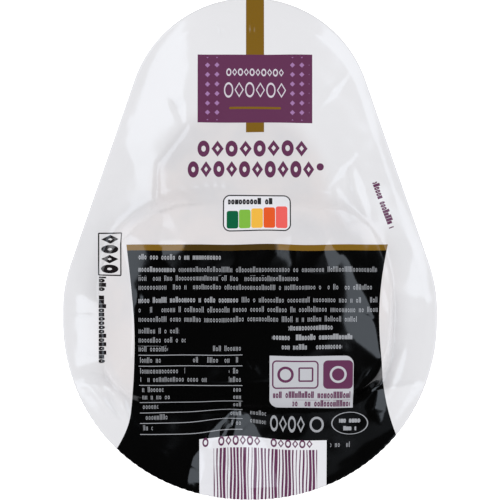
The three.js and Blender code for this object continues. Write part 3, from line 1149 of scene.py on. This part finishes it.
def web_material(name, is_printed):
    """Opaque white film with a clear outer layer, reverse printed where it is the shown web."""
    material, tree, shader = new_material(name)
    graph = Graph(tree)
    finish = graph.group(film_group(), Place=graph.node("ShaderNodeTexCoord").outputs["Object"])
    on_cheese = graph.node("ShaderNodeAttribute", attribute_name="on_cheese").outputs["Fac"]
    shade = graph.paint(CHEESE_TINT, CHEESE_SHADE, finish["Patches"])
    shade = graph.paint(WHITE_INK, shade, on_cheese)
    ink = Print(tree, graph.node("ShaderNodeUVMap", uv_map="Print").outputs[0], shade)
    ink.lay(GOLD_INK, ink.area(STRIPE))
    if is_printed:
        ink.lay(PLUM_INK, ink.area(BADGE))
        ink.lay(LILAC_INK, ink.badge_pattern())
        ink.lay(BADGE_INK, ink.most(map(ink.border_row, BADGE_ROWS)))
        ink.lay(GOLD_INK, ink.area(*BADGE_LINE))
        ink.lay(PLUM_INK, ink.most(ink.title()))
        ink.lay(PANEL_WHITE, ink.area(*SWATCH_BOX))
        ink.lay(LINE_GREY, ink.most(ink.swatch_lines()))
        for index, patch_ink in enumerate(PATCH_INKS):
            ink.lay(patch_ink, ink.swatch(index))
        ink.lay(STAMP_INK, ink.most(ink.stamp_marks()))
    block, band = ink.block()
    ink.lay(BLACK_INK, block)
    # Painted reflection: the gold band is painted darker in its middle, where it mirrors the dark room
    ink.lay(ink.paint(GOLD_INK, GOLD_PAINTED_REFLECTION, ink.band_painted_reflection()), band)
    if is_printed:
        ink.lay(FINE_PRINT, ink.most(ink.light_lines()))
        ink.lay(PANEL_GREY, ink.most(ink.grey_panel()))
        ink.lay(PANEL_WHITE, ink.area(BAR_PANEL))
        ink.lay(PLUM_INK, ink.most(ink.panel_plum()))
    toned = graph.vector("MULTIPLY", ink.shade, finish["Tone"])
    graph.fill(shader, {"Base Color": toned, "Roughness": finish["Roughness"], "IOR": 1.5})
    bump = graph.node("ShaderNodeBump")
    graph.fill(bump, {"Strength": 0.15, "Distance": 0.0002, "Height": finish["Relief"]})
    graph.feed(shader.inputs["Normal"], bump.outputs[0])
    return material


class FilmSettings(bpy.types.PropertyGroup):
    """Sizes of the two webs of film."""

    thickness: bpy.props.FloatProperty(
        name="Thickness", description="Thickness of one web of film, in millimetres", default=0.2, min=0.05
    )
    shown_segments: bpy.props.IntProperty(
        name="Shown segments", description="Steps across the printed web", default=220, min=20
    )
    formed_segments: bpy.props.IntProperty(
        name="Formed segments", description="Steps across the formed web", default=110, min=20
    )


class StageSettings(bpy.types.PropertyGroup):
    """Camera, lights and floor."""

    lens: bpy.props.FloatProperty(
        name="Lens", description="Focal length in millimetres", default=200.0, min=20.0
    )
    side_power: bpy.props.FloatProperty(
        name="Side power", description="Power of each side softbox", default=7.2, unit="POWER"
    )
    fill_power: bpy.props.FloatProperty(
        name="Fill power", description="Power of the light on the colour", default=0.5, unit="POWER"
    )
    low_power: bpy.props.FloatProperty(
        name="Low power", description="Power of the dim low panel", default=0.1, unit="POWER"
    )


class CHEESEPACK_OT_printed_web(bpy.types.Operator):
    """Make the printed web of film over the shown side of the cheese"""

    bl_idname = "cheesepack.printed_web"
    bl_label = "Printed web"

    def execute(self, context):
        settings = context.scene.cheesepack_film
        mesh, x, y, angle, share = web_sheet("printed_web", settings.shown_segments)
        height = film_height(x, y, angle)
        settled = np.clip((1 - share) * SETTLING, 0, 1)
        level = RIM_LEVEL + settings.thickness + height * settled + rim_wave(angle, share)
        lay_out(mesh, x, y, level, y - print_shift(x, y), cheese_tint(x, y))
        finished(mesh, "printed_web", web_material("printed film", True), settings.thickness)
        return {"FINISHED"}


class CHEESEPACK_OT_formed_web(bpy.types.Operator):
    """Make the formed web of film round the underside of the cheese"""

    bl_idname = "cheesepack.formed_web"
    bl_label = "Formed web"

    def execute(self, context):
        settings = context.scene.cheesepack_film
        mesh, x, y, angle, share = web_sheet("formed_web", settings.formed_segments)
        cheese = formed_cheese(x, y)
        level = RIM_LEVEL - settings.thickness - over_cheese(cheese) + rim_wave(angle, share)
        lay_out(mesh, x, y, np.maximum(0.0, level), y, np.clip(cheese / 2, 0, 1))
        mesh.flip_normals()
        finished(mesh, "formed_web", web_material("formed film", False), settings.thickness)
        return {"FINISHED"}


# Lights: name, setting of their power, size and place in metres
LIGHTS = (
    ("softbox_right", "side_power", (1.3, 0.75), (0.74, 0.08, 0.72)),
    ("softbox_left", "side_power", (1.3, 0.75), (-0.74, 0.12, 0.72)),
    ("low_panel", "low_power", (0.7, 0.26), (0.28, -0.34, 0.90)),
    ("fill_top", "fill_power", (0.9, 0.9), (-0.35, 0.45, 0.95)),
)

# Strength of the room's light on the film's own colour, in its gloss, and as the backdrop
ROOM_ON_COLOUR = 1.04
ROOM_IN_GLOSS = 0.008
ROOM_BEHIND = 0.98

FLOOR_HALF = 4
FLOOR_TONE = (0.8, 0.8, 0.8, 1)
FLOOR_GLOW = 0.75
WHITE = (1, 1, 1, 1)


def softbox(name, power, size, place):
    """A rectangular area light that faces the pack. It either shows in the film's gloss or lights
    the film evenly, not both."""
    is_mirrored = name != "fill_top"
    light = bpy.data.lights.new(name, "AREA")
    light.shape = "RECTANGLE"
    light.size, light.size_y = size
    light.energy = power
    light.color = COOL_LIGHT if is_mirrored else WHITE[:3]
    lamp = placed(name, light)
    lamp.location = place
    towards = Vector((0, 0, RIM_LEVEL * MM)) - Vector(place)
    lamp.rotation_euler = towards.to_track_quat("-Z", "Y").to_euler()
    lamp.visible_diffuse = not is_mirrored
    lamp.visible_glossy = is_mirrored


def pale_floor():
    """A white floor that shows as pure white under the pack."""
    mesh = square_mesh("floor", 1, FLOOR_HALF)
    floor = placed("floor", mesh)
    white, tree, shader = new_material("pale floor")
    Graph(tree).fill(shader, {"Base Color": FLOOR_TONE, "Roughness": 0.9})
    Graph(tree).fill(shader, {"Emission Color": WHITE, "Emission Strength": FLOOR_GLOW})
    mesh.materials.append(white)
    floor.visible_glossy = False


def studio_world():
    """Even light for the film's own colour, and a dark room for its gloss to mirror."""
    world = bpy.data.worlds.new("studio")
    world.use_nodes = True
    graph = Graph(world.node_tree)
    background = world.node_tree.nodes["Background"]
    path = graph.node("ShaderNodeLightPath").outputs
    strength = graph.times_plus(path["Is Diffuse Ray"], ROOM_ON_COLOUR, ROOM_IN_GLOSS)
    strength = graph.times_plus(path["Is Camera Ray"], ROOM_BEHIND, strength)
    graph.fill(background, {"Strength": strength, "Color": WHITE})
    bpy.context.scene.world = world


class CHEESEPACK_OT_stage(bpy.types.Operator):
    """Set up the pale floor, the soft lights and the camera that looks straight down"""

    bl_idname = "cheesepack.stage"
    bl_label = "Stage"

    def execute(self, context):
        settings = context.scene.cheesepack_stage
        scene = context.scene
        scene.view_settings.view_transform = "Standard"
        pale_floor()
        studio_world()
        for name, power, size, place in LIGHTS:
            softbox(name, getattr(settings, power), size, place)
        camera = bpy.data.cameras.new("camera")
        camera.lens = settings.lens
        camera.sensor_width = 36
        camera.clip_end = 20
        distance = PHOTO_PIXELS * PIXEL * MM * camera.lens / camera.sensor_width
        eye = placed("camera", camera)
        eye.location = (0, -PIXEL * MM, RIM_LEVEL * MM + distance)
        scene.camera = eye
        return {"FINISHED"}


class CHEESEPACK_PT_panel(bpy.types.Panel):
    """Lists the steps that make the pack"""

    bl_label = "Cheese Pack"
    bl_idname = "CHEESEPACK_PT_panel"
    bl_space_type = "VIEW_3D"
    bl_region_type = "UI"
    bl_category = "Cheese Pack"

    def draw(self, context):
        layout = self.layout
        for operator in OPERATORS:
            layout.operator(operator.bl_idname)


OPERATORS = (CHEESEPACK_OT_printed_web, CHEESEPACK_OT_formed_web, CHEESEPACK_OT_stage)
CLASSES = (FilmSettings, StageSettings, *OPERATORS, CHEESEPACK_PT_panel)


def register():
    for cls in CLASSES:
        bpy.utils.register_class(cls)
    bpy.types.Scene.cheesepack_film = bpy.props.PointerProperty(type=FilmSettings)
    bpy.types.Scene.cheesepack_stage = bpy.props.PointerProperty(type=StageSettings)


def unregister():
    del bpy.types.Scene.cheesepack_stage
    del bpy.types.Scene.cheesepack_film
    for cls in reversed(CLASSES):
        bpy.utils.unregister_class(cls)


def main():
    register()
    bpy.ops.cheesepack.stage()
    bpy.ops.cheesepack.printed_web()
    bpy.ops.cheesepack.formed_web()


if __name__ == "__main__":
    main()
